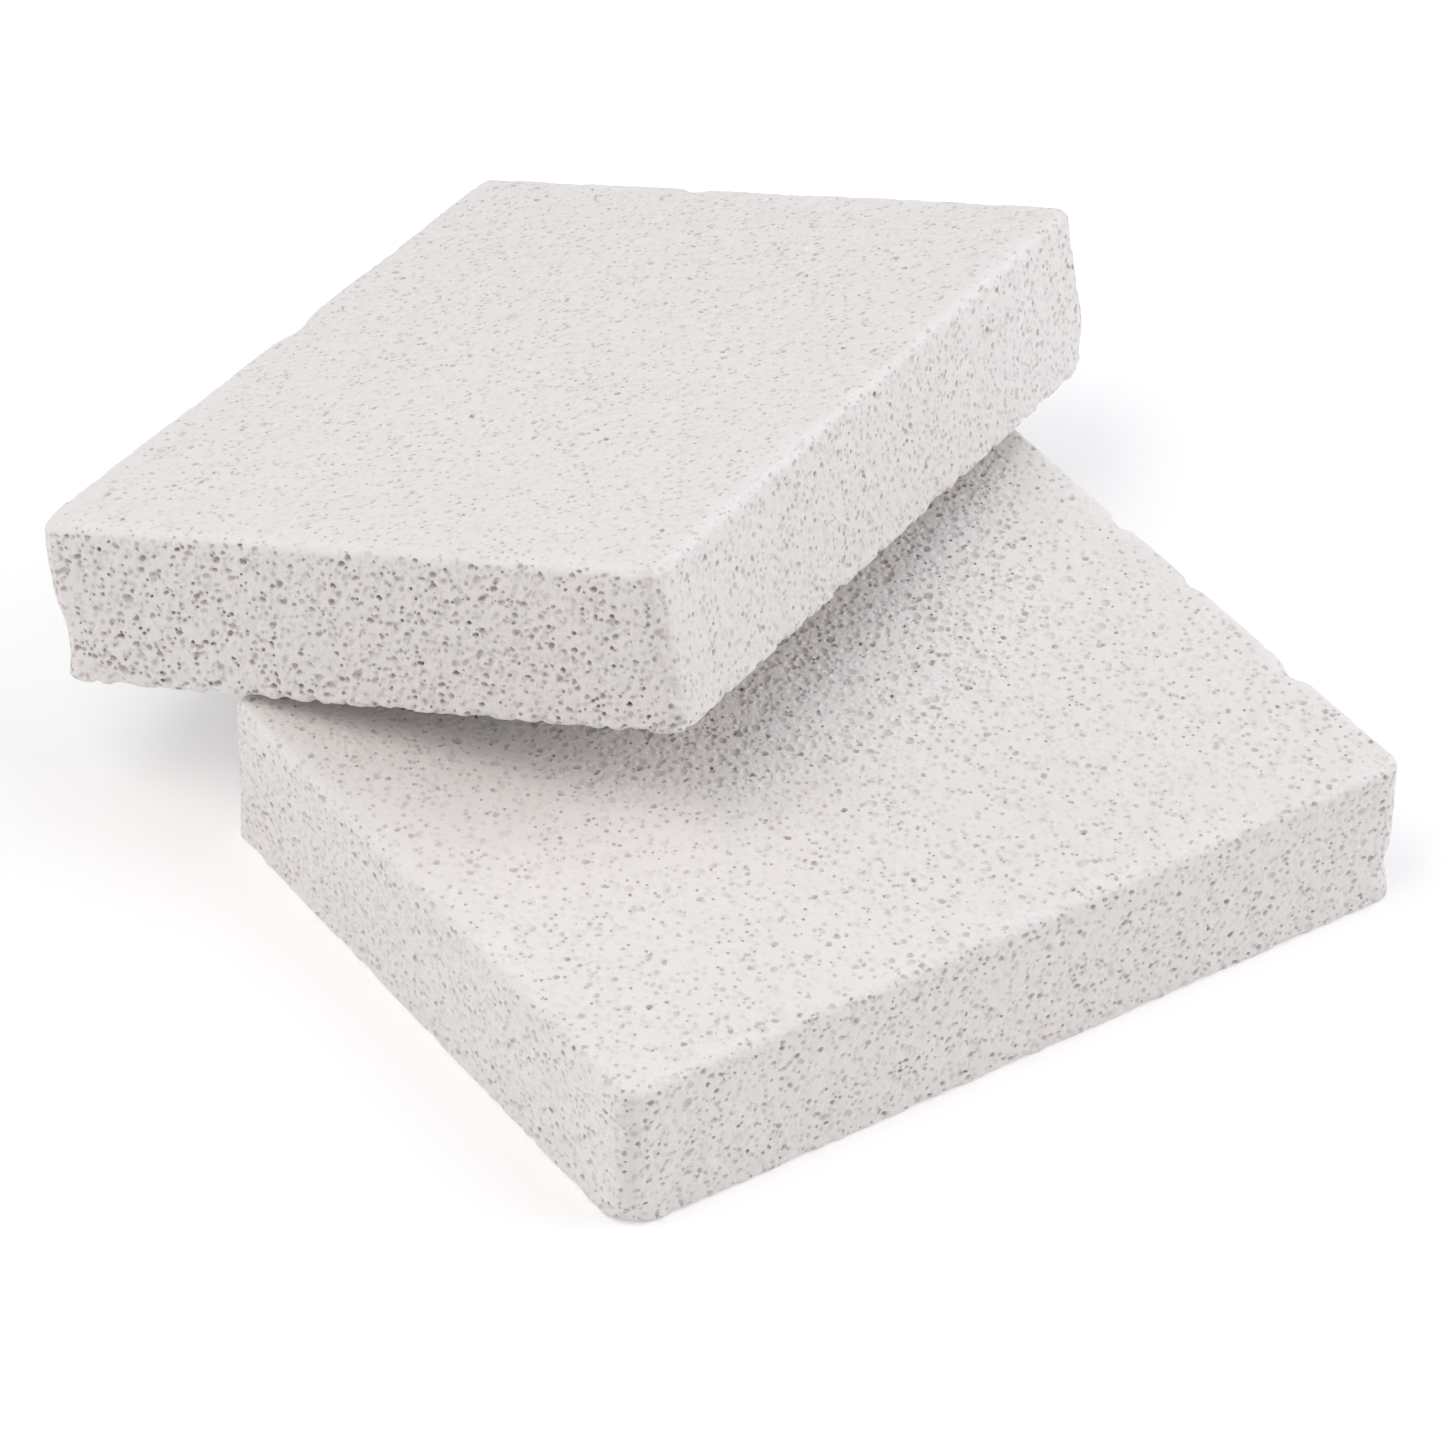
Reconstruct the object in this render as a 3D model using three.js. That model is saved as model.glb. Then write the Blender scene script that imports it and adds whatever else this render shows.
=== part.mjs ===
// Gymnastics chalk blocks: two equal slabs of cast, porous magnesium carbonate.
// One lies flat. The other leans over its back top edge, with its rear corner on the ground.
// Units are millimetres, +Z is up, and the origin is the middle of the lower block's underside.
import * as THREE from "three";

// Size of one block.
const BLOCK_LENGTH = 90;
const BLOCK_WIDTH = 70;
const BLOCK_THICKNESS = 17;

// Wear: the upright corners are rounder than the long edges.
const CORNER_RADIUS = 2.4;
const EDGE_RADIUS = 0.6;
const CORNER_STEPS = 6;
const EDGE_STEPS = 3;

// How the upper block lies: its turn in its own plane, and where its middle is
// beyond and along the lower block's back edge, measured in that leaning plane.
const UPPER_TURN_DEG = 29.1;
const UPPER_BEYOND_EDGE = 8;
const UPPER_ALONG_EDGE = 1.7;

// Clearance between the two blocks where the upper one rests on the lower.
const CONTACT_GAP = 0.3;

const CHALK_COLOUR = 0xe4e1dd;

// The block's plan: a rectangle with round corners, centred on the origin.
function blockPlan(length, width, radius) {
  const x = length / 2;
  const y = width / 2;
  const quarter = Math.PI / 2;
  const plan = new THREE.Shape();
  plan.moveTo(-x + radius, -y);
  plan.absarc(x - radius, -y + radius, radius, -quarter, 0, false);
  plan.absarc(x - radius, y - radius, radius, 0, quarter, false);
  plan.absarc(-x + radius, y - radius, radius, quarter, 2 * quarter, false);
  plan.absarc(-x + radius, -y + radius, radius, 2 * quarter, 3 * quarter, false);
  return plan;
}

// One block standing on z = 0, with its long edges rounded by a bevel.
function blockGeometry() {
  const plan = blockPlan(BLOCK_LENGTH, BLOCK_WIDTH, CORNER_RADIUS);
  const geometry = new THREE.ExtrudeGeometry(plan, {
    depth: BLOCK_THICKNESS - 2 * EDGE_RADIUS,
    curveSegments: CORNER_STEPS,
    bevelEnabled: true,
    bevelThickness: EDGE_RADIUS,
    bevelSize: EDGE_RADIUS,
    bevelOffset: -EDGE_RADIUS,
    bevelSegments: EDGE_STEPS,
  });
  return geometry.translate(0, 0, EDGE_RADIUS);
}

function chalkMaterial(name) {
  return new THREE.MeshStandardMaterial({
    name,
    color: CHALK_COLOUR,
    roughness: 0.95,
    metalness: 0,
  });
}

function block(name) {
  const mesh = new THREE.Mesh(blockGeometry(), chalkMaterial(name));
  mesh.name = name;
  return mesh;
}

// How far the rear corner's edge rounding lies beyond the lower block's back edge,
// measured down the leaning plane.
function rearCornerReach(turn) {
  const toArcCentreX = BLOCK_LENGTH / 2 - CORNER_RADIUS;
  const toArcCentreY = BLOCK_WIDTH / 2 - CORNER_RADIUS;
  const arcCentre = toArcCentreX * Math.sin(turn) + toArcCentreY * Math.cos(turn);
  return UPPER_BEYOND_EDGE + arcCentre + (CORNER_RADIUS - EDGE_RADIUS);
}

// The slope at which the upper block touches both the lower block's back edge and the ground.
// The edge rounding's centre sits `rise` above the pivot's plane, and drops by `fall` in all:
// reach * sin(lean) - rise * cos(lean) = fall.
function leanAngle(turn) {
  const reach = rearCornerReach(turn);
  const rise = 2 * EDGE_RADIUS + CONTACT_GAP;
  const fall = BLOCK_THICKNESS - 2 * EDGE_RADIUS;
  return Math.asin(fall / Math.hypot(reach, rise)) + Math.atan2(rise, reach);
}

// The upper block turns in a leaning plane, which pivots on the centre line
// of the lower block's back top edge rounding.
function leaningBlock() {
  const turn = THREE.MathUtils.degToRad(UPPER_TURN_DEG);
  const upper = block("upper_block");
  upper.position.set(UPPER_ALONG_EDGE, UPPER_BEYOND_EDGE, EDGE_RADIUS + CONTACT_GAP);
  upper.rotation.z = turn;
  const plane = new THREE.Group();
  plane.position.set(0, BLOCK_WIDTH / 2 - EDGE_RADIUS, BLOCK_THICKNESS - EDGE_RADIUS);
  plane.rotation.x = -leanAngle(turn);
  plane.add(upper);
  return plane;
}

const chalkBlocks = new THREE.Group();
chalkBlocks.name = "chalk_blocks";
chalkBlocks.add(block("lower_block"), leaningBlock());

export default chalkBlocks;
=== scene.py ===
"""Looks for a pair of gymnastics chalk blocks: open-pored, worn and dusty slabs.

Each block is modelled in millimetres in its own frame, lying flat and centred, and is
then put where its CAD solid lies. Every wear and pore step only takes material away,
so that a block never leaves its CAD solid.
"""

import itertools
import logging
import math
from collections.abc import Callable
from dataclasses import dataclass
from enum import Enum

import bpy
import numpy as np
from mathutils import Matrix, Quaternion, Vector, kdtree


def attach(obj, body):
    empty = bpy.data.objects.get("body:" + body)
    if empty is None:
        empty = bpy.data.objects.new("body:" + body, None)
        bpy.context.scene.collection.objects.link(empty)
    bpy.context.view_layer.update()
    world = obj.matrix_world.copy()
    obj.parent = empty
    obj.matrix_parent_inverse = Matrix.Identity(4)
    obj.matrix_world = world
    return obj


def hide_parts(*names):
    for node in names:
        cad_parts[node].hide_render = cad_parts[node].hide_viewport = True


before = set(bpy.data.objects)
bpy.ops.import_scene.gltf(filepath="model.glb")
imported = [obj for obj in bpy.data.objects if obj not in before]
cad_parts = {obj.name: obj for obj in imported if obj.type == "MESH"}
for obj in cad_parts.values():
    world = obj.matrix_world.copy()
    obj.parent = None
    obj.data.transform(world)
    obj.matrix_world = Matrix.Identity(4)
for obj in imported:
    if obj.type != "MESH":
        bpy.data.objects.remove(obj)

LOG = logging.getLogger("chalk_blocks")
MM = 0.001


class Part(Enum):
    """The parts of a block's skin that wear and break open in different ways."""

    TOP = "top"
    UNDERSIDE = "underside"
    SIDES = "sides"


@dataclass(frozen=True)
class PoreGrade:
    """One size of bubble that the cast chalk has, where the skin cuts it open.

    Attributes:
        per_mm2: How many lie on each square millimetre of the skin, by part.
        radius: Smallest and largest radius, in millimetres.
        depth: Smallest and largest depth, as a share of the radius.
        shade: Smallest and largest painted shade inside the pore, from 0 to 1.
        bare_share: How many times as common they are where the skin is rubbed off.
    """

    per_mm2: dict[Part, float]
    radius: tuple[float, float]
    depth: tuple[float, float]
    shade: tuple[float, float]
    bare_share: float = 1.0


@dataclass(frozen=True)
class SoftNoise:
    """Smooth chance values that fill space.

    Attributes:
        seed: Sets the pattern.
        size: The size of its largest clouds, in millimetres.
        layers: How many layers it has, each half the size and strength of the last.
        period: How many clouds it takes to repeat.
    """

    seed: int
    size: float
    layers: int = 2
    period: int = 48

    def at(self, points: np.ndarray) -> np.ndarray:
        """Read the noise.

        Args:
            points: Where, in millimetres.

        Returns:
            One value from 0 to 1 for each point.
        """
        table = np.random.default_rng(self.seed).random((self.period,) * 3)
        total, strength, size = np.zeros(len(points)), 0.0, self.size
        for layer in range(self.layers):
            share = 0.5**layer
            total += share * self._layer(points / size + 7.3 * layer, table)
            strength += share
            size /= 2
        return total / strength

    def _layer(self, places: np.ndarray, table: np.ndarray) -> np.ndarray:
        """Blend the eight table values round each place.

        Args:
            places: Where, in cells of the table.
            table: The chance values.

        Returns:
            One value for each place.
        """
        cells = np.floor(places).astype(int)
        part = places - cells
        part = part * part * (3 - 2 * part)
        total = np.zeros(len(places))
        for corner in itertools.product((0, 1), repeat=3):
            weight = np.prod(np.where(corner, part, 1 - part), axis=1)
            x, y, z = ((cells + corner) % self.period).T
            total += weight * table[x, y, z]
        return total


@dataclass(frozen=True)
class Chip:
    """A lost corner or a dent in an edge.

    Attributes:
        where: Its middle, as shares of the block's half length, half width and half thickness.
        radius: How far it reaches, in millimetres.
        depth: How much is gone at its middle, in millimetres.
    """

    where: tuple[float, float, float]
    radius: float
    depth: float

    def shift(self, points: np.ndarray, half: np.ndarray) -> np.ndarray:
        """Work out how far the chip pushes the skin in, away from the edge or corner.

        Args:
            points: The skin's points in millimetres.
            half: The block's half length, half width and half thickness.

        Returns:
            The shift of each point, in millimetres.
        """
        where = np.array(self.where)
        inward = -np.where(np.abs(where) == 1, where, 0)
        inward = inward / np.linalg.norm(inward)
        apart = np.linalg.norm(points - where * half, axis=1) / self.radius
        return self.depth * smooth_step(1 - apart, 0.0, 1.0)[:, None] * inward


@dataclass(frozen=True)
class Scuff:
    """A round patch of the top whose dense skin is rubbed off. It lies where the upper block's
    shadow falls, and it is whitened there as painted light that lifts that shadow.

    Attributes:
        where: Its middle, as shares of the block's half length and half width.
        radius: Where its fading starts and ends, in millimetres from its middle.
        ragged: How far its rim strays from a circle in all, in millimetres.
        ragged_size: Size of the rim's largest lobes, in millimetres.
        seed: Sets the rim's pattern.
    """

    where: tuple[float, float]
    radius: tuple[float, float]
    ragged: float = 6.0
    ragged_size: float = 5.0
    seed: int = 5

    def bareness(self, points: np.ndarray, half: np.ndarray) -> np.ndarray:
        """Work out where the dense skin is missing.

        Args:
            points: The skin's points in millimetres.
            half: The block's half length, half width and half thickness.

        Returns:
            From 0 for whole skin to 1 for bare chalk, at each point.
        """
        apart = np.linalg.norm(points[:, :2] - np.array(self.where) * half[:2], axis=1)
        strayed = SoftNoise(self.seed, self.ragged_size).at(points) - 0.5
        return 1 - smooth_step(apart + self.ragged * strayed, *self.radius)


@dataclass(frozen=True)
class Wear:
    """How the block's faces and edges have lost their exact shape, in millimetres.

    Attributes:
        corner_radius: Rounding of the four upright corners.
        top_radius: Rounding of the top edges, which are handled.
        base_radius: Rounding of the bottom edges.
        wave: Greatest loss over the faces, in broad waves.
        wave_size: Size of those waves.
        flat_foot: Height over the underside up to which the waves fade out.
        crumble: Greatest loss along the edges, in small crumbs.
        crumble_size: Size of those crumbs.
        crumble_reach: How far from an edge they go.
        crumble_top: Share of the crumbs that the handled top edges have.
        crumbly: Where in the crumbs' noise they start and are whole.
        dust_reach: How far from an edge the rubbed, dust-filled skin goes.
        dust_size: Size of its patches.
        dust_side: Share of that reach which upright faces have.
        dust_foot: Heights over the underside between which dust sets in.
        dust_fill: Share by which dust closes the pores.
        closed_top: Share by which rubbing has closed the pores of the top.
        closed_sides: The same for the two long sides.
        closed_ends: The same for the two short sides.
        sealed_top: Share of the top's pores that are sealed altogether.
        polished_top: Share of the top's fine relief that is rubbed off.
        top_dust_and_lift: How dusty that leaves the top, as a share of it; this also paints the
            top lighter than the sides, as painted light.
    """

    corner_radius: float = 1.9
    top_radius: float = 1.0
    base_radius: float = 0.5
    wave: float = 0.25
    wave_size: float = 13.0
    flat_foot: float = 1.5
    crumble: float = 0.22
    crumble_size: float = 1.2
    crumble_reach: float = 0.9
    crumble_top: float = 0.4
    crumbly: tuple[float, float] = (0.35, 0.85)
    dust_reach: float = 5.0
    dust_size: float = 6.0
    dust_side: float = 0.3
    dust_foot: tuple[float, float] = (2.0, 7.0)
    dust_fill: float = 0.4
    closed_top: float = 0.3
    closed_sides: float = 0.36
    closed_ends: float = 0.27
    sealed_top: float = 0.1
    polished_top: float = 0.1
    top_dust_and_lift: float = 0.5

    def loss(self, points: np.ndarray, half: np.ndarray, seed: int) -> np.ndarray:
        """Work out how much skin is worn away.

        Args:
            points: The skin's points in millimetres.
            half: The block's half length, half width and half thickness.
            seed: Sets the pattern.

        Returns:
            The loss at each point, in millimetres.
        """
        off_base = smooth_step(points[:, 2] + half[2], 0.0, self.flat_foot)
        broad = SoftNoise(seed, self.wave_size, 1).at(points) * off_base
        crumbs = smooth_step(SoftNoise(seed + 1, self.crumble_size).at(points), *self.crumbly)
        near_edge = np.exp(-((edge_distance(points, half) / self.crumble_reach) ** 2))
        share = 1 - (1 - self.crumble_top) * smooth_step(points[:, 2] / half[2], 0.0, 0.8)
        return self.wave * broad + self.crumble * share * crumbs * near_edge

    def closure(self, normals: np.ndarray) -> np.ndarray:
        """Work out how far rubbing has closed the pores of each face.

        Args:
            normals: The skin's outward normals.

        Returns:
            From 0 for open pores to 1 for closed ones, at each point.
        """
        ends, sides, top = normals[:, 0] ** 2, normals[:, 1] ** 2, normals[:, 2] ** 2
        return self.closed_ends * ends + self.closed_sides * sides + self.closed_top * top

    def dust(
        self, points: np.ndarray, normals: np.ndarray, half: np.ndarray, seed: int
    ) -> np.ndarray:
        """Work out where the skin is rubbed smooth and its pores are full of dust.

        Args:
            points: The skin's points in millimetres.
            normals: Their outward normals.
            half: The block's half length, half width and half thickness.
            seed: Sets the pattern.

        Returns:
            From 0 for open skin to 1 for dusty skin, at each point.
        """
        patches = smooth_step(SoftNoise(seed + 2, self.dust_size, 3).at(points), 0.3, 0.7)
        upward = np.clip(normals[:, 2], 0, 1)
        facing = self.dust_side + (1 - self.dust_side) * upward
        reach = self.dust_reach * (0.1 + patches) * facing
        raised = smooth_step(points[:, 2] + half[2], *self.dust_foot)
        return raised * smooth_step(1 - edge_distance(points, half) / reach, 0.0, 0.9)


@dataclass(frozen=True)
class Placement:
    """Where a block lies, read from its CAD solid.

    Attributes:
        size: Length, width and thickness in millimetres.
        matrix: From the block's own frame in millimetres to the row frame in metres.
    """

    size: Vector
    matrix: Matrix

    @classmethod
    def of(cls, node: str) -> "Placement":
        """Measure a CAD node whose faces are those of a slab.

        Args:
            node: The CAD node's name.

        Returns:
            The slab's size and place.
        """
        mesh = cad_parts[node].data
        normals = np.array([face.normal for face in mesh.polygons])
        areas = np.array([face.area for face in mesh.polygons])
        points = np.array([vertex.co for vertex in mesh.vertices])
        up = cls._main_direction(normals, areas)
        up = up if up[2] > 0 else -up
        level = np.abs(normals @ up) < 0.01
        across = cls._main_direction(normals[level], areas[level])
        across = across if across[1] > 0 else -across
        axes = np.array([np.cross(across, up), across, up])
        reach = points @ axes.T
        low, high = reach.min(0), reach.max(0)
        centre = axes.T @ ((low + high) / 2)
        turn = Matrix(axes.T.tolist()).to_4x4()
        matrix = Matrix.Translation(Vector(centre)) @ turn @ Matrix.Scale(MM, 4)
        return cls(Vector((high - low) / MM), matrix)

    @staticmethod
    def _main_direction(normals: np.ndarray, areas: np.ndarray) -> np.ndarray:
        """Return the unit normal that the largest area shares.

        Args:
            normals: One unit normal for each face.
            areas: One area for each face.

        Returns:
            That direction.
        """
        alike = np.abs(normals @ normals.T) > 0.999
        return normals[np.argmax(alike @ areas)]


def smooth_step(values: np.ndarray, start: float, end: float) -> np.ndarray:
    """Rise smoothly from 0 at start to 1 at end."""
    share = np.clip((values - start) / (end - start), 0, 1)
    return share * share * (3 - 2 * share)


def edge_distance(points: np.ndarray, half: np.ndarray) -> np.ndarray:
    """Return how far each point of a block's skin is from the block's nearest edge.

    Args:
        points: The skin's points in millimetres.
        half: The block's half length, half width and half thickness.

    Returns:
        The distances in millimetres.
    """
    return -np.sort(np.abs(points) - half, axis=1)[:, 1]


def direction(azimuth: float, elevation: float) -> Vector:
    """Return the unit vector to a place round the object.

    Args:
        azimuth: Degrees round from straight in front.
        elevation: Degrees above the horizon.

    Returns:
        The vector from the object to that place.
    """
    turn, rise = math.radians(azimuth), math.radians(elevation)
    level = math.cos(rise)
    return Vector((math.sin(turn) * level, -math.cos(turn) * level, math.sin(rise)))


def deselect_all() -> None:
    """Leave nothing selected, in object mode."""
    bpy.ops.object.select_all(action="DESELECT")


def make_active(piece: bpy.types.Object) -> None:
    """Make piece the only selected object, and the active one."""
    deselect_all()
    piece.select_set(True)
    bpy.context.view_layer.objects.active = piece


def apply_modifier(piece: bpy.types.Object, kind: str, **settings: object) -> None:
    """Add a modifier to a piece, set it up and apply it.

    Args:
        piece: The mesh object.
        kind: The modifier's type.
        settings: The modifier's own settings.
    """
    modifier = piece.modifiers.new(kind.title(), kind)
    for name, value in settings.items():
        setattr(modifier, name, value)
    make_active(piece)
    bpy.ops.object.modifier_apply(modifier=modifier.name)


def vertex_values(mesh: bpy.types.Mesh, what: str) -> np.ndarray:
    """Read a three-number value of every vertex.

    Args:
        mesh: The mesh.
        what: "co" or "normal".

    Returns:
        One row for each vertex.
    """
    values = np.empty(len(mesh.vertices) * 3, np.float32)
    mesh.vertices.foreach_get(what, values)
    return values.reshape(-1, 3).astype(float)


def store_attribute(mesh: bpy.types.Mesh, name: str, values: np.ndarray) -> None:
    """Store one number for each vertex as a named attribute.

    Args:
        mesh: The mesh.
        name: The attribute's name.
        values: The numbers.
    """
    attribute = mesh.attributes.new(name, "FLOAT", "POINT")
    attribute.data.foreach_set("value", values.astype(np.float32))


@dataclass
class PoreField:
    """Opens the bubbles that a block's skin cuts through.

    Attributes:
        grades: The sizes of bubble.
        spacing: How far apart bubbles keep, as a share of their two radii together.
        size_bias: Over 1, small bubbles are commoner than large ones.
        fill_bias: Over 1, shallow pale pores are commoner than deep dark ones.
        stretch: How much longer than wide the longest pore is, as a share.
        squash: How much narrower than round every pore is, as a factor.
        turn_spread: How far pores turn from the level, in radians.
        upright: The direction that long pores lie across.
        outline_lobes: How far a pore's rim bulges in two lobes and in three, as shares.
        reach: Where to look for a pore's points, as a share of its radius.
    """

    grades: tuple[PoreGrade, ...]
    spacing: float = 1.08
    size_bias: float = 1.8
    fill_bias: float = 1.5
    stretch: float = 0.3
    squash: float = 1.08
    turn_spread: float = 0.6
    upright: tuple[float, float, float] = (0.05, 0.2, 1.0)
    outline_lobes: tuple[float, float] = (0.1, 0.08)
    reach: float = 1.6

    def open(
        self,
        points: np.ndarray,
        normals: np.ndarray,
        bare: np.ndarray,
        sealed: np.ndarray,
        area: float,
        rng: np.random.Generator,
    ) -> tuple[np.ndarray, np.ndarray]:
        """Work out how deep the pores are under every point of the skin.

        Args:
            points: The skin's points, evenly spread, in millimetres.
            normals: Their outward normals.
            bare: From 0 for whole skin to 1 for bare chalk, at each point.
            sealed: Share of the pores that are missing, at each point.
            area: The skin's area in square millimetres.
            rng: The source of chance.

        Returns:
            The depth in millimetres and the shade from 0 to 1, for each point.
        """
        tree = kdtree.KDTree(len(points))
        for index, point in enumerate(points):
            tree.insert(point, index)
        tree.balance()
        depth = np.zeros(len(points))
        shade = np.zeros(len(points))
        middles, radii, grades = self._scatter(points, normals, bare, sealed, area, rng)
        for middle, radius, grade in zip(middles, radii, grades):
            self._hollow(tree, points, normals, middle, radius, grade, rng, depth, shade)
        LOG.info("opened %d pores", len(middles))
        return depth, shade

    def _scatter(
        self,
        points: np.ndarray,
        normals: np.ndarray,
        bare: np.ndarray,
        sealed: np.ndarray,
        area: float,
        rng: np.random.Generator,
    ) -> tuple[list[int], list[float], list[PoreGrade]]:
        """Choose where the bubbles are, the largest first, so that they keep apart.

        Args:
            points: The skin's points in millimetres.
            normals: Their outward normals.
            bare: From 0 for whole skin to 1 for bare chalk, at each point.
            sealed: Share of the pores that are missing, at each point.
            area: The skin's area in square millimetres.
            rng: The source of chance.

        Returns:
            For each bubble the index of its middle point, its radius and its grade.
        """
        share = area / len(points)
        upward = normals[:, 2]
        parts = {
            Part.TOP: upward > 0.7,
            Part.UNDERSIDE: upward < -0.7,
            Part.SIDES: np.abs(upward) <= 0.7,
        }
        wanted = []
        for grade in self.grades:
            for part, inside in parts.items():
                here = np.flatnonzero(inside)
                chance = (1 + (grade.bare_share - 1) * bare[here]) * (1 - sealed[here])
                count = int(chance.sum() * share * grade.per_mm2[part])
                low, high = grade.radius
                radii = low + (high - low) * rng.random(count) ** self.size_bias
                chosen = rng.choice(here, count, p=chance / chance.sum())
                wanted += [(r, i, grade) for r, i in zip(radii, chosen)]
        wanted.sort(key=lambda pore: -pore[0])
        cell = 2 * max(grade.radius[1] for grade in self.grades)
        taken: dict[tuple[int, ...], list[tuple[np.ndarray, float]]] = {}
        middles, radii_kept, grades_kept = [], [], []
        for radius, index, grade in wanted:
            point = points[index]
            home = tuple(int(c) for c in point // cell)
            if self._crowded(point, radius, home, taken):
                continue
            taken.setdefault(home, []).append((point, radius))
            middles.append(index)
            radii_kept.append(radius)
            grades_kept.append(grade)
        return middles, radii_kept, grades_kept

    def _crowded(
        self,
        point: np.ndarray,
        radius: float,
        home: tuple[int, ...],
        taken: dict[tuple[int, ...], list[tuple[np.ndarray, float]]],
    ) -> bool:
        """Tell whether another bubble is too close.

        Args:
            point: The new bubble's middle.
            radius: Its radius.
            home: The cell of space that it is in.
            taken: The bubbles so far, by cell.

        Returns:
            True if there is no room.
        """
        for step in itertools.product((-1, 0, 1), repeat=3):
            cell = tuple(a + b for a, b in zip(home, step))
            for other, other_radius in taken.get(cell, ()):
                apart = point - other
                if apart @ apart < (self.spacing * (radius + other_radius)) ** 2:
                    return True
        return False

    def _hollow(
        self,
        tree: kdtree.KDTree,
        points: np.ndarray,
        normals: np.ndarray,
        middle: int,
        radius: float,
        grade: PoreGrade,
        rng: np.random.Generator,
        depth: np.ndarray,
        shade: np.ndarray,
    ) -> None:
        """Deepen the skin over one bubble.

        Args:
            tree: Finds the points near a place.
            points: The skin's points.
            normals: Their outward normals.
            middle: The index of the bubble's middle point.
            radius: The bubble's radius.
            grade: Its grade.
            rng: The source of chance.
            depth: The depth at each point, which is changed.
            shade: The shade at each point, which is changed.
        """
        stretch = 1 + self.stretch * rng.random()
        turn = rng.normal(0.0, self.turn_spread)
        lobe_a, lobe_b = rng.random(2) * math.tau
        open_share = rng.random() ** self.fill_bias
        deepest = radius * np.interp(open_share, (0, 1), grade.depth)
        darkest = np.interp(open_share, (0, 1), grade.shade)
        found = tree.find_range(points[middle], radius * self.reach)
        near = np.fromiter((index for _, index, _ in found), int, len(found))
        normal = normals[middle]
        along = np.cross(normal, self.upright)
        along /= np.linalg.norm(along)
        across = np.cross(normal, along)
        offset = points[near] - points[middle]
        u, v = offset @ along, offset @ across
        angle = np.arctan2(v, u)
        u, v = (
            (u * math.cos(turn) + v * math.sin(turn)) / stretch,
            (v * math.cos(turn) - u * math.sin(turn)) * self.squash,
        )
        low, high = self.outline_lobes
        outline = 1 + low * np.sin(2 * angle + lobe_a) + high * np.sin(3 * angle + lobe_b)
        share = (u * u + v * v + (offset @ normal) ** 2) / (radius * outline) ** 2
        bowl = np.sqrt(np.clip(1 - share, 0, 1))
        depth[near] = np.maximum(depth[near], deepest * bowl)
        # Painted shade, darkest in the middle of the pore.
        shade[near] = np.maximum(shade[near], darkest * np.sqrt(bowl))


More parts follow.
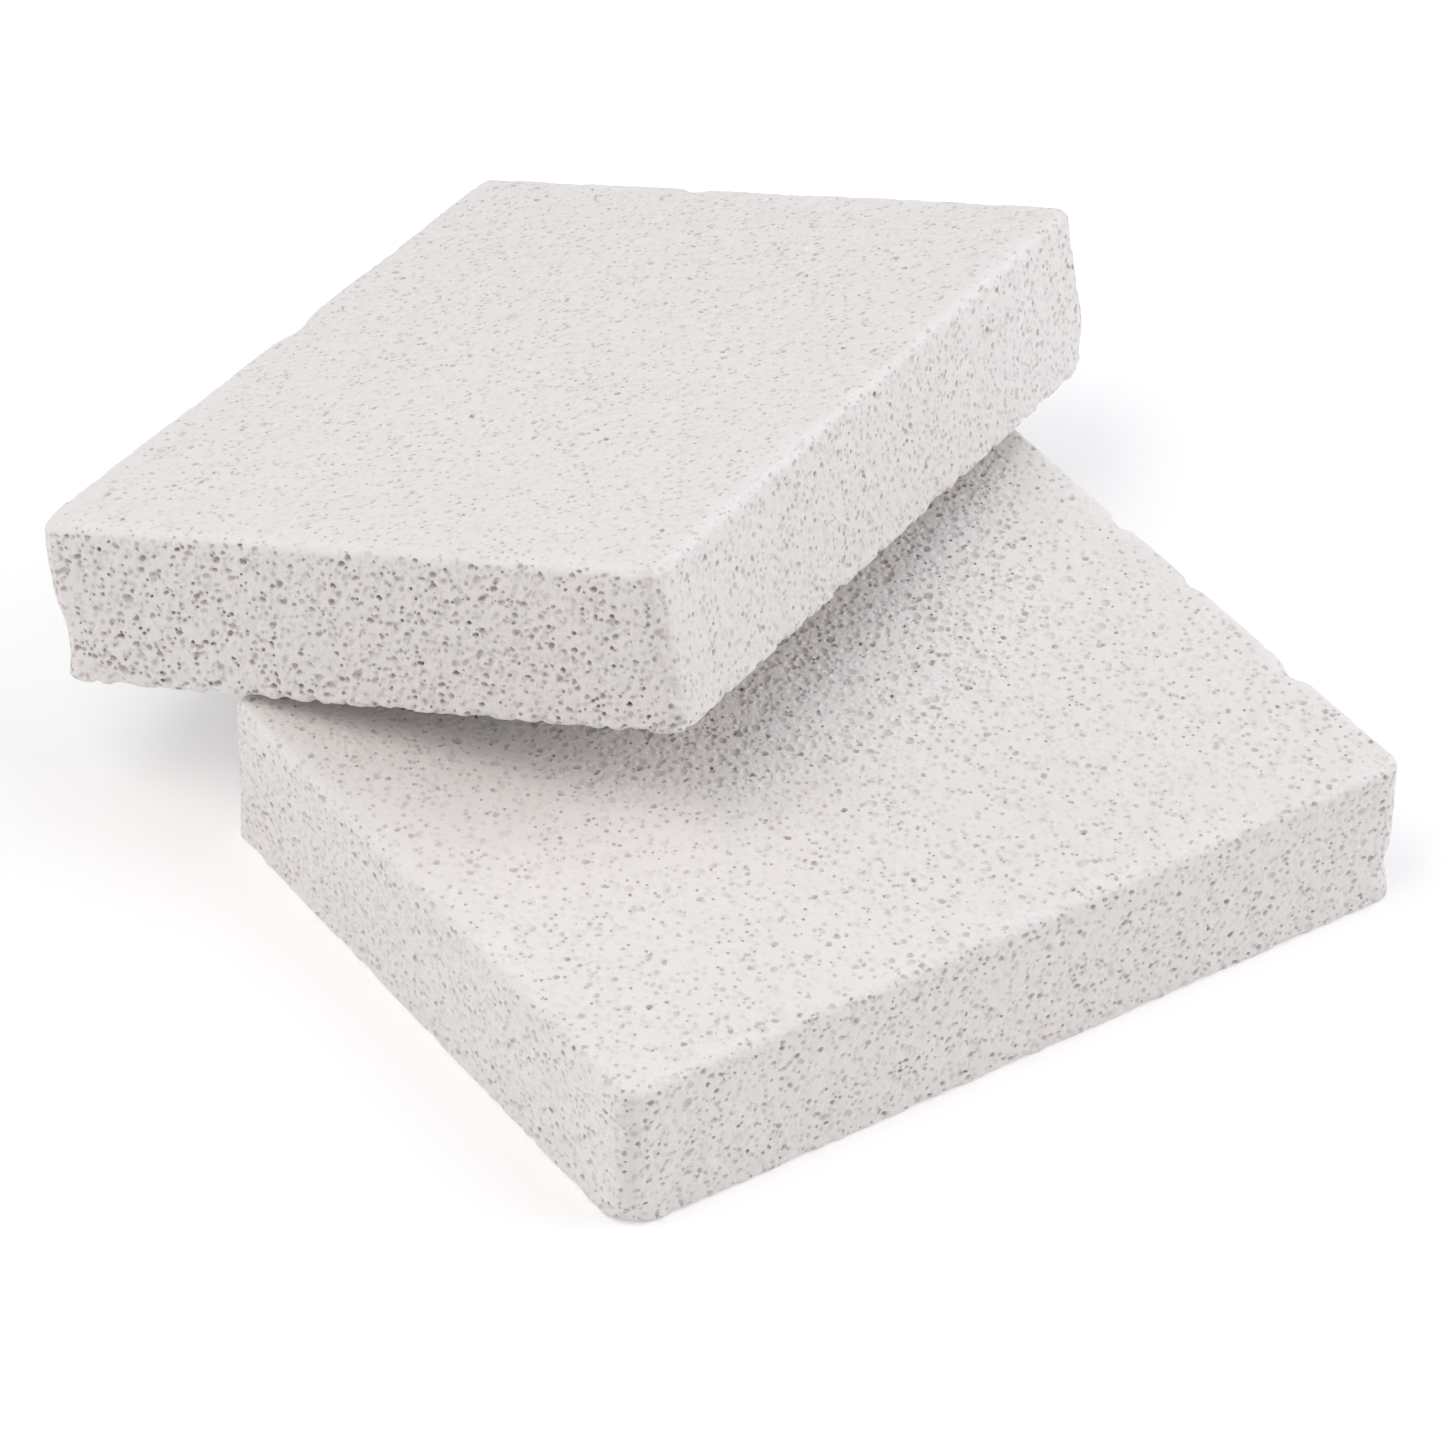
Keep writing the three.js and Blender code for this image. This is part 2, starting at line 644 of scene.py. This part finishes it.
@dataclass(frozen=True)
class ChalkFinish:
    """Dry, dusty magnesium carbonate.

    Attributes:
        name: The material's name.
        skin: Colour of the worn skin.
        cool: Colour of its cooler patches.
        warm: Colour of its warmer patches.
        dust: Colour of the loose powder on rubbed edges, also used as painted light that whitens
            the tops and the shadowed bare patch.
        wall: Colour of the walls between small bubbles, paler than the skin as a painted highlight
            on their lit ridges.
        pore_shade_colour: Colour of the painted shade deep in a pore, where light hardly reaches.
        roughness: Roughness of the powdery surface.
        shine: How strongly it reflects.
        warm_size: Size of the warmer patches, in millimetres.
        cool_size: Size of the cooler patches, in millimetres.
        patch_rim: Where in their noise patches start and are whole.
        patch_strength: How strongly they colour the skin.
        cell_size: Spacing of the small bubbles inside the chalk, in millimetres.
        cell_bowl: Where a small bubble's bowl starts and ends, as shares of that spacing.
        pinhole_rim: Where a pinhole's rim starts and ends, as shares of that spacing.
        pinhole_shade: Painted shade of the darkest pinhole.
        speck_spacing: Spacing of the rarer, darker pinholes, in millimetres.
        speck_rim: Where one's rim starts and ends, as shares of that spacing.
        speck_shade: Painted shade of the darkest one.
        wall_highlight: How strongly the painted highlight lightens the walls between small
            bubbles.
        relief: Depth of the fine relief, in millimetres.
        relief_strength: How strongly the fine relief shows.
        wall_height: How high the walls between small bubbles stand, as a share of the relief.
        grain_size: Size of the powdery grain, in millimetres.
        grain_height: How high it stands, as a share of the relief.
    """

    name: str = "chalk"
    skin: tuple[float, float, float, float] = (0.778, 0.752, 0.742, 1.0)
    cool: tuple[float, float, float, float] = (0.763, 0.752, 0.748, 1.0)
    warm: tuple[float, float, float, float] = (0.793, 0.756, 0.736, 1.0)
    dust: tuple[float, float, float, float] = (0.86, 0.85, 0.855, 1.0)
    wall: tuple[float, float, float, float] = (0.83, 0.81, 0.803, 1.0)
    pore_shade_colour: tuple[float, float, float, float] = (0.21, 0.172, 0.15, 1.0)
    roughness: float = 0.95
    shine: float = 0.15
    warm_size: float = 9.0
    cool_size: float = 13.0
    patch_rim: tuple[float, float] = (0.45, 0.75)
    patch_strength: float = 0.6
    cell_size: float = 0.85
    cell_bowl: tuple[float, float] = (0.12, 0.55)
    pinhole_rim: tuple[float, float] = (0.15, 0.22)
    pinhole_shade: float = 0.55
    speck_spacing: float = 1.05
    speck_rim: tuple[float, float] = (0.12, 0.17)
    speck_shade: float = 0.95
    wall_highlight: float = 0.8
    relief: float = 0.36
    relief_strength: float = 0.8
    wall_height: float = 0.45
    grain_size: float = 0.45
    grain_height: float = 0.5

    def material(self) -> bpy.types.Material:
        """Build the node material.

        Returns:
            The material.
        """
        material = bpy.data.materials.new(self.name)
        material.use_nodes = True
        tree = material.node_tree
        shader = tree.nodes["Principled BSDF"]
        shader.inputs["Roughness"].default_value = self.roughness
        shader.inputs["Specular IOR Level"].default_value = self.shine
        place = tree.nodes.new("ShaderNodeTexCoord").outputs["Object"]
        cells = self._cells(tree, place, self.cell_size)
        wall = self._range(tree, cells.outputs["Distance"], self.cell_bowl, (0.0, 1.0))
        # Pinholes and sparser specks get painted shade, as small holes would be dark inside.
        pinhole = self._pinholes(tree, cells, self.pinhole_rim, self.pinhole_shade)
        sparse = self._cells(tree, place, self.speck_spacing)
        speck = self._pinholes(tree, sparse, self.speck_rim, self.speck_shade)
        pinhole = self._math(tree, "MAXIMUM", pinhole, speck)
        colour = self._patches(tree, place)
        # Painted highlight: the walls between small bubbles are lightened as if their ridges
        # caught the light.
        painted_highlight = self._math(tree, "MULTIPLY", wall, self.wall_highlight)
        colour = self._mix(tree, painted_highlight, colour, self.wall)
        # Painted shade in the pinholes.
        colour = self._mix(tree, pinhole, colour, self.pore_shade_colour)
        # Painted shade inside the pores of the mesh, from the pore attribute.
        colour = self._mix(tree, self._attribute(tree, "pore"), colour, self.pore_shade_colour)
        tree.links.new(colour, shader.inputs["Base Color"])
        tree.links.new(self._relief(tree, place, wall, pinhole), shader.inputs["Normal"])
        return material

    @staticmethod
    def _attribute(tree: bpy.types.NodeTree, name: str) -> bpy.types.NodeSocket:
        """Return the socket of a vertex attribute."""
        node = tree.nodes.new("ShaderNodeAttribute")
        node.attribute_name = name
        return node.outputs["Fac"]

    @staticmethod
    def _mix(
        tree: bpy.types.NodeTree,
        factor: bpy.types.NodeSocket,
        first: bpy.types.NodeSocket | tuple[float, ...],
        second: bpy.types.NodeSocket | tuple[float, ...],
    ) -> bpy.types.NodeSocket:
        """Mix two colours.

        Args:
            tree: The node tree.
            factor: How much of the second.
            first: A socket or a colour.
            second: A socket or a colour.

        Returns:
            The mixed colour's socket.
        """
        node = tree.nodes.new("ShaderNodeMix")
        node.data_type = "RGBA"
        tree.links.new(factor, node.inputs["Factor"])
        for socket, value in ((node.inputs["A"], first), (node.inputs["B"], second)):
            if isinstance(value, tuple):
                socket.default_value = value
            else:
                tree.links.new(value, socket)
        return node.outputs["Result"]

    @staticmethod
    def _range(
        tree: bpy.types.NodeTree,
        value: bpy.types.NodeSocket,
        source: tuple[float, float],
        target: tuple[float, float],
    ) -> bpy.types.NodeSocket:
        """Map a value from one range to another, smoothly and within limits.

        Args:
            tree: The node tree.
            value: The value's socket.
            source: The range it has.
            target: The range it gets.

        Returns:
            The new value's socket.
        """
        node = tree.nodes.new("ShaderNodeMapRange")
        node.interpolation_type = "SMOOTHSTEP"
        tree.links.new(value, node.inputs["Value"])
        node.inputs["From Min"].default_value, node.inputs["From Max"].default_value = source
        node.inputs["To Min"].default_value, node.inputs["To Max"].default_value = target
        return node.outputs["Result"]

    @staticmethod
    def _math(
        tree: bpy.types.NodeTree,
        operation: str,
        first: bpy.types.NodeSocket | float,
        second: bpy.types.NodeSocket | float,
    ) -> bpy.types.NodeSocket:
        """Combine two numbers.

        Args:
            tree: The node tree.
            operation: The Math node's operation.
            first: A socket or a number.
            second: A socket or a number.

        Returns:
            The result's socket.
        """
        node = tree.nodes.new("ShaderNodeMath")
        node.operation = operation
        for socket, value in zip(node.inputs, (first, second)):
            if isinstance(value, (int, float)):
                socket.default_value = value
            else:
                tree.links.new(value, socket)
        return node.outputs["Value"]

    @staticmethod
    def _noise(
        tree: bpy.types.NodeTree, place: bpy.types.NodeSocket, size_mm: float, detail: float
    ) -> bpy.types.NodeSocket:
        """Return a cloudy noise.

        Args:
            tree: The node tree.
            place: The coordinates, in metres.
            size_mm: The size of its largest clouds.
            detail: How many finer layers it has.

        Returns:
            The noise's socket, from 0 to 1.
        """
        node = tree.nodes.new("ShaderNodeTexNoise")
        tree.links.new(place, node.inputs["Vector"])
        node.inputs["Scale"].default_value = 1 / (size_mm * MM)
        node.inputs["Detail"].default_value = detail
        return node.outputs["Fac"]

    def _patches(
        self, tree: bpy.types.NodeTree, place: bpy.types.NodeSocket
    ) -> bpy.types.NodeSocket:
        """Colour the skin with faint cooler and warmer patches.

        Args:
            tree: The node tree.
            place: The coordinates, in metres.

        Returns:
            The colour's socket.
        """
        colour, strength = self.skin, (0.0, self.patch_strength)
        for size_mm, tint in ((self.warm_size, self.warm), (self.cool_size, self.cool)):
            noise = self._noise(tree, place, size_mm, 2.0)
            share = self._range(tree, noise, self.patch_rim, strength)
            colour = self._mix(tree, share, colour, tint)
        # The dust attribute also carries painted light: whitened tops and the whitened bare patch
        # in the upper block's shadow.
        return self._mix(tree, self._attribute(tree, "dust"), colour, self.dust)

    def _cells(
        self, tree: bpy.types.NodeTree, place: bpy.types.NodeSocket, size_mm: float
    ) -> bpy.types.ShaderNode:
        """Fill the chalk with small bubbles, the size of grains of sand.

        Args:
            tree: The node tree.
            place: The coordinates, in metres.
            size_mm: The bubbles' spacing.

        Returns:
            The node that tells how far each place is from the nearest bubble's middle.
        """
        cells = tree.nodes.new("ShaderNodeTexVoronoi")
        tree.links.new(place, cells.inputs["Vector"])
        cells.inputs["Scale"].default_value = 1 / (size_mm * MM)
        cells.inputs["Randomness"].default_value = 0.9
        return cells

    def _pinholes(
        self,
        tree: bpy.types.NodeTree,
        cells: bpy.types.ShaderNode,
        rim: tuple[float, float],
        darkest: float,
    ) -> bpy.types.NodeSocket:
        """Paint shade into some of the small bubbles, which are too fine to be part of the mesh.

        Args:
            tree: The node tree.
            cells: The small bubbles.
            rim: Where a pinhole's rim starts and ends, as shares of their spacing.
            darkest: Painted shade of the darkest pinhole.

        Returns:
            How much painted shade each place has, from 0 to 1.
        """
        hole = self._range(tree, cells.outputs["Distance"], rim, (1.0, 0.0))
        lot = tree.nodes.new("ShaderNodeSeparateColor")
        tree.links.new(cells.outputs["Color"], lot.inputs["Color"])
        shade = self._range(tree, lot.outputs["Red"], (0.2, 1.0), (0.0, darkest))
        darkness = self._math(tree, "MULTIPLY", hole, shade)
        return self._math(tree, "MULTIPLY", darkness, self._attribute(tree, "open"))

    def _relief(
        self,
        tree: bpy.types.NodeTree,
        place: bpy.types.NodeSocket,
        wall: bpy.types.NodeSocket,
        pinhole: bpy.types.NodeSocket,
    ) -> bpy.types.NodeSocket:
        """Turn the walls between small bubbles, the pinholes and the grain into relief.

        Args:
            tree: The node tree.
            place: The coordinates, in metres.
            wall: From 0 in the middle of a small bubble to 1 on the wall between two.
            pinhole: How much each place is a pinhole.

        Returns:
            The normal's socket.
        """
        grain = self._noise(tree, place, self.grain_size, 3.0)
        grain = self._math(tree, "MULTIPLY", grain, self.grain_height)
        height = self._math(tree, "MULTIPLY", wall, self.wall_height)
        height = self._math(tree, "ADD", height, grain)
        height = self._math(tree, "MULTIPLY", height, self._attribute(tree, "open"))
        height = self._math(tree, "SUBTRACT", height, pinhole)
        bump = tree.nodes.new("ShaderNodeBump")
        bump.inputs["Strength"].default_value = self.relief_strength
        bump.inputs["Distance"].default_value = self.relief * MM
        tree.links.new(height, bump.inputs["Height"])
        return bump.outputs["Normal"]


@dataclass
class ChalkBlock:
    """One cast block of chalk.

    Attributes:
        name: The piece's name.
        node: The CAD node that it stands for.
        body: The CAD body that it moves with.
        seed: Sets this block's own pattern of pores and wear.
        pores: Its pores.
        chips: Its lost corners and dents.
        wear: Its rounding and unevenness.
        scuff: The patch of its top that has been rubbed bare, if there is one.
        voxel: Spacing of the mesh that wear and pores are worked into, in millimetres.
        quick_voxel: Not used.
        triangles: How many triangles its mesh may have.
        sharp_rim: Edges that turn more than this angle are drawn sharp.
    """

    name: str
    node: str
    body: str
    seed: int
    pores: PoreField
    chips: tuple[Chip, ...]
    wear: Wear = Wear()
    scuff: Scuff | None = None
    voxel: float = 0.125
    quick_voxel: int = 3
    triangles: int = 194_000
    sharp_rim: float = math.radians(38)

    def build(self, finish: bpy.types.Material) -> bpy.types.Object:
        """Model the block, put it in place and dress it.

        Args:
            finish: The chalk material.

        Returns:
            The finished piece.
        """
        placement = Placement.of(self.node)
        piece = self._slab(placement.size)
        self._remesh(piece)
        self._weather(piece, placement.size)
        self._thin_out(piece)
        self._put_in_place(piece, placement)
        piece.data.materials.clear()
        piece.data.materials.append(finish)
        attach(piece, self.body)
        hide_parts(self.node)
        LOG.info("%s has %d faces", piece.name, len(piece.data.polygons))
        return piece

    def _slab(self, size: Vector) -> bpy.types.Object:
        """Cut the plain slab and round its corners and edges.

        Args:
            size: Length, width and thickness in millimetres.

        Returns:
            The slab, in millimetres.
        """
        deselect_all()
        bpy.ops.mesh.primitive_cube_add(size=1.0, scale=size)
        piece = bpy.context.active_object
        piece.name = self.name
        bpy.ops.object.transform_apply(location=True, rotation=True, scale=True)
        wear, top = self.wear, size.z * 0.99
        self._bevel(piece, lambda a, b: abs(a.z - b.z) > size.z / 2, wear.corner_radius, 8)
        self._bevel(piece, lambda a, b: a.z + b.z > top, wear.top_radius, 5)
        self._bevel(piece, lambda a, b: a.z + b.z < -top, wear.base_radius, 3)
        return piece

    @staticmethod
    def _bevel(
        piece: bpy.types.Object,
        chosen: Callable[[Vector, Vector], bool],
        width: float,
        segments: int,
    ) -> None:
        """Round the edges that a test picks out.

        Args:
            piece: The slab.
            chosen: Tells from an edge's two ends whether it is rounded.
            width: The rounding's radius in millimetres.
            segments: How many steps the rounding has.
        """
        make_active(piece)
        bpy.ops.object.mode_set(mode="EDIT")
        bpy.ops.mesh.select_mode(type="EDGE")
        bpy.ops.mesh.select_all(action="DESELECT")
        bpy.ops.object.mode_set(mode="OBJECT")
        mesh = piece.data
        for edge in mesh.edges:
            first, second = (mesh.vertices[index].co for index in edge.vertices)
            edge.select = chosen(first, second)
        bpy.ops.object.mode_set(mode="EDIT")
        bpy.ops.mesh.bevel(offset=width, offset_type="OFFSET", segments=segments, affect="EDGES")
        bpy.ops.object.mode_set(mode="OBJECT")

    def _remesh(self, piece: bpy.types.Object) -> None:
        """Give the slab the even fine mesh that wear and pores need.

        Args:
            piece: The slab.
        """
        voxel = self.voxel * 1
        apply_modifier(piece, "REMESH", mode="VOXEL", voxel_size=voxel)
        LOG.info("%s: %d points", self.name, len(piece.data.vertices))

    def _weather(self, piece: bpy.types.Object, size: Vector) -> None:
        """Wear the skin back, open its pores, and store how dark and dusty each place is.

        Args:
            piece: The slab.
            size: Length, width and thickness in millimetres.
        """
        rng = np.random.default_rng(self.seed)
        mesh, half = piece.data, np.array(size) / 2
        points, normals = vertex_values(mesh, "co"), vertex_values(mesh, "normal")
        area = sum(face.area for face in mesh.polygons)
        bare = np.zeros(len(points))
        if self.scuff:
            bare = self.scuff.bareness(points, half) * (normals[:, 2] > 0.8)
        dust = self.wear.dust(points, normals, half, self.seed)
        closure = self.wear.closure(normals) * (1 - bare)
        closed = np.maximum(self.wear.dust_fill * dust, closure)
        loss = self.wear.loss(points, half, self.seed)
        chipped = sum(chip.shift(points, half) for chip in self.chips)
        flat_top = np.clip(normals[:, 2], 0, 1) * (1 - bare)
        sealed = self.wear.sealed_top * flat_top
        depth, shade = self.pores.open(points, normals, bare, sealed, area, rng)
        loss += depth * (1 - closed)
        points = np.clip(points - normals * loss[:, None] + chipped, -half, half)
        mesh.vertices.foreach_set("co", points.astype(np.float32).ravel())
        mesh.update()
        # The pore attribute is painted shade inside each pore, stronger where the skin is open.
        store_attribute(mesh, "pore", shade * (1 - closed))
        # Partly dust, partly painted light: flat tops are whitened so they read lighter than the
        # sides, and the bare patch is whitened to lift the shadow that the upper block casts on
        # it.
        rubbed = np.maximum(self.wear.top_dust_and_lift * self.wear.polished_top * flat_top, bare)
        store_attribute(mesh, "dust", np.maximum(dust, rubbed))
        store_attribute(mesh, "open", (1 - closed) * (1 - self.wear.polished_top * flat_top))

    def _thin_out(self, piece: bpy.types.Object) -> None:
        """Merge the triangles that flat skin doesn't need.

        Args:
            piece: The slab.
        """
        apply_modifier(piece, "TRIANGULATE")
        share = min(1.0, self.triangles / len(piece.data.polygons))
        apply_modifier(piece, "DECIMATE", ratio=share)
        make_active(piece)
        bpy.ops.object.shade_smooth_by_angle(angle=self.sharp_rim)

    @staticmethod
    def _put_in_place(piece: bpy.types.Object, placement: Placement) -> None:
        """Move the block to where its CAD solid lies, with its place in its mesh.

        Args:
            piece: The block, in millimetres in its own frame.
            placement: Where it goes.
        """
        make_active(piece)
        piece.matrix_world = placement.matrix
        bpy.ops.object.transform_apply(location=True, rotation=True, scale=True)


@dataclass(frozen=True)
class Viewpoint:
    """The camera: a long lens that looks down on a corner of the lower block.

    Attributes:
        lens: Focal length in millimetres.
        azimuth: Degrees round from straight in front.
        elevation: Degrees above the horizon.
        roll: Degrees that the camera leans over to its left.
        distance: From the point looked at, in metres.
        target: The point looked at.
    """

    lens: float = 191.7
    azimuth: float = -34.4
    elevation: float = 38.9
    roll: float = 1.0
    distance: float = 0.7695
    target: tuple[float, float, float] = (0.0049, 0.0232, 0.0)

    def set_up(self) -> bpy.types.Object:
        """Make the camera and look through it.

        Returns:
            The camera.
        """
        back = direction(self.azimuth, self.elevation)
        deselect_all()
        bpy.ops.object.camera_add(location=Vector(self.target) + back * self.distance)
        camera = bpy.context.active_object
        level = (-back).to_track_quat("-Z", "Y")
        camera.rotation_euler = (level @ Quaternion((0, 0, 1), math.radians(self.roll))).to_euler()
        camera.data.lens = self.lens
        bpy.context.scene.camera = camera
        return camera


@dataclass(frozen=True)
class Lamp:
    """One soft studio light.

    Attributes:
        name: The light's name.
        azimuth: Where it stands, in degrees round from straight in front.
        elevation: Its height above the horizon, in degrees.
        distance: From the middle of the object, in metres.
        size: The side of its square face, in metres.
        power: In watts.
        colour: Its colour.
    """

    name: str
    azimuth: float
    elevation: float
    distance: float
    size: float
    power: float
    colour: tuple[float, float, float]

    def set_up(self) -> None:
        """Make the light and point it at the object."""
        back = direction(self.azimuth, self.elevation)
        deselect_all()
        bpy.ops.object.light_add(type="AREA", location=back * self.distance)
        lamp = bpy.context.active_object
        lamp.name = self.name
        lamp.rotation_euler = (-back).to_track_quat("-Z", "Y").to_euler()
        lamp.data.size = self.size
        lamp.data.energy = self.power
        lamp.data.color = self.colour


@dataclass(frozen=True)
class Studio:
    """A plain white table under soft light.

    Attributes:
        floor_side: The side of the square floor, in metres.
        floor_colour: Its colour.
        floor_glow: How much light it gives off by itself.
        sky_colour: Colour of the light from all round.
        sky_strength: Its strength.
        lamps: The lights.
    """

    floor_side: float = 6.0
    floor_colour: tuple[float, float, float, float] = (0.88, 0.89, 0.9, 1.0)
    floor_glow: float = 0.2
    sky_colour: tuple[float, float, float, float] = (1.0, 0.93, 0.885, 1.0)
    sky_strength: float = 0.232
    lamps: tuple[Lamp, ...] = (
        Lamp("right_low", 65.0, 23.0, 1.28, 0.9, 4.9, (0.92, 0.96, 1.0)),
        Lamp("right_middle", 45.0, 45.0, 1.28, 0.9, 3.6, (1.0, 0.89, 0.87)),
        Lamp("right_high", 90.0, 60.0, 1.2, 0.9, 2.4, (0.8, 0.9, 1.0)),
        Lamp("left_high", 270.0, 60.0, 1.2, 0.9, 6.4, (1.0, 0.97, 0.94)),
        Lamp("back_low", 225.0, 23.0, 1.28, 0.9, 3.1, (1.0, 0.98, 0.96)),
        Lamp("back_high", 180.0, 55.0, 1.2, 0.9, 1.45, (0.78, 0.9, 1.0)),
    )

    def set_up(self) -> None:
        """Make the floor, the sky and the lights."""
        scene = bpy.context.scene
        scene.view_settings.view_transform = "Standard"
        world = bpy.data.worlds.new("studio")
        world.use_nodes = True
        sky = world.node_tree.nodes["Background"]
        sky.inputs["Color"].default_value = self.sky_colour
        sky.inputs["Strength"].default_value = self.sky_strength
        scene.world = world
        self._floor()
        for lamp in self.lamps:
            lamp.set_up()

    def _floor(self) -> None:
        """Make the plain pale floor, which isn't part of the object."""
        deselect_all()
        bpy.ops.mesh.primitive_plane_add(size=self.floor_side)
        floor = bpy.context.active_object
        floor.name = "floor"
        material = bpy.data.materials.new("floor")
        material.use_nodes = True
        shader = material.node_tree.nodes["Principled BSDF"]
        shader.inputs["Base Color"].default_value = self.floor_colour
        shader.inputs["Roughness"].default_value = 1.0
        shader.inputs["Specular IOR Level"].default_value = 0.0
        shader.inputs["Emission Color"].default_value = (1.0, 1.0, 1.0, 1.0)
        shader.inputs["Emission Strength"].default_value = self.floor_glow
        floor.data.materials.append(material)


HOLLOWS = PoreGrade(
    per_mm2={Part.TOP: 0.03, Part.UNDERSIDE: 0.0, Part.SIDES: 0.06},
    radius=(0.36, 0.54),
    depth=(0.5, 0.95),
    shade=(0.0, 0.28),
    bare_share=18.0,
)
BUBBLES = PoreGrade(
    per_mm2={Part.TOP: 0.7, Part.UNDERSIDE: 0.02, Part.SIDES: 1.35},
    radius=(0.16, 0.36),
    depth=(0.5, 1.5),
    shade=(0.0, 0.55),
    bare_share=2.0,
)
DEEP_HOLES = PoreGrade(
    per_mm2={Part.TOP: 0.02, Part.UNDERSIDE: 0.0, Part.SIDES: 0.09},
    radius=(0.16, 0.32),
    depth=(1.8, 2.4),
    shade=(0.5, 1.0),
)
LOWER_CHIPS = (
    Chip((-1, -1, -1), 3.8, 1.2),
    Chip((1, 0.32, 1), 2.4, 0.7),
    Chip((1, -0.02, 1), 2.0, 0.5),
    Chip((1, -0.5, 1), 2.6, 0.8),
    Chip((1, -1, -0.5), 3.5, 0.6),
)
UPPER_CHIPS = (
    Chip((-1, 1, -0.4), 5.5, 0.6),
    Chip((-1, 1, 1), 5.0, 0.5),
    Chip((1, -1, -1), 5.5, 1.2),
    Chip((1, 0.25, 1), 2.2, 0.5),
    Chip((0.1, 1, 1), 5.0, 0.5),
)


def main() -> None:
    """Build the view, the studio and the two blocks."""
    logging.basicConfig(level=logging.INFO, format="%(message)s")
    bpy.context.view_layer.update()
    Viewpoint().set_up()
    Studio().set_up()
    chalk = ChalkFinish().material()
    pores = PoreField((HOLLOWS, BUBBLES, DEEP_HOLES))
    blocks = (
        ChalkBlock(
            name="chalk_block_lower",
            node="lower_block",
            body="lower_block",
            seed=11,
            pores=pores,
            chips=LOWER_CHIPS,
            # The bare patch lies in the upper block's shadow and is painted lighter there.
            scuff=Scuff((0.07, 0.8), (32.0, 39.0)),
        ),
        ChalkBlock(
            name="chalk_block_upper",
            node="upper_block",
            body="upper_block",
            seed=23,
            pores=pores,
            chips=UPPER_CHIPS,
            wear=Wear(
                crumble=0.5,
                closed_top=0.1,
                closed_sides=0.44,
                closed_ends=0.05,
                sealed_top=0.6,
                polished_top=0.4,
            ),
        ),
    )
    for block in blocks:
        block.build(chalk)


if __name__ == "__main__":
    main()
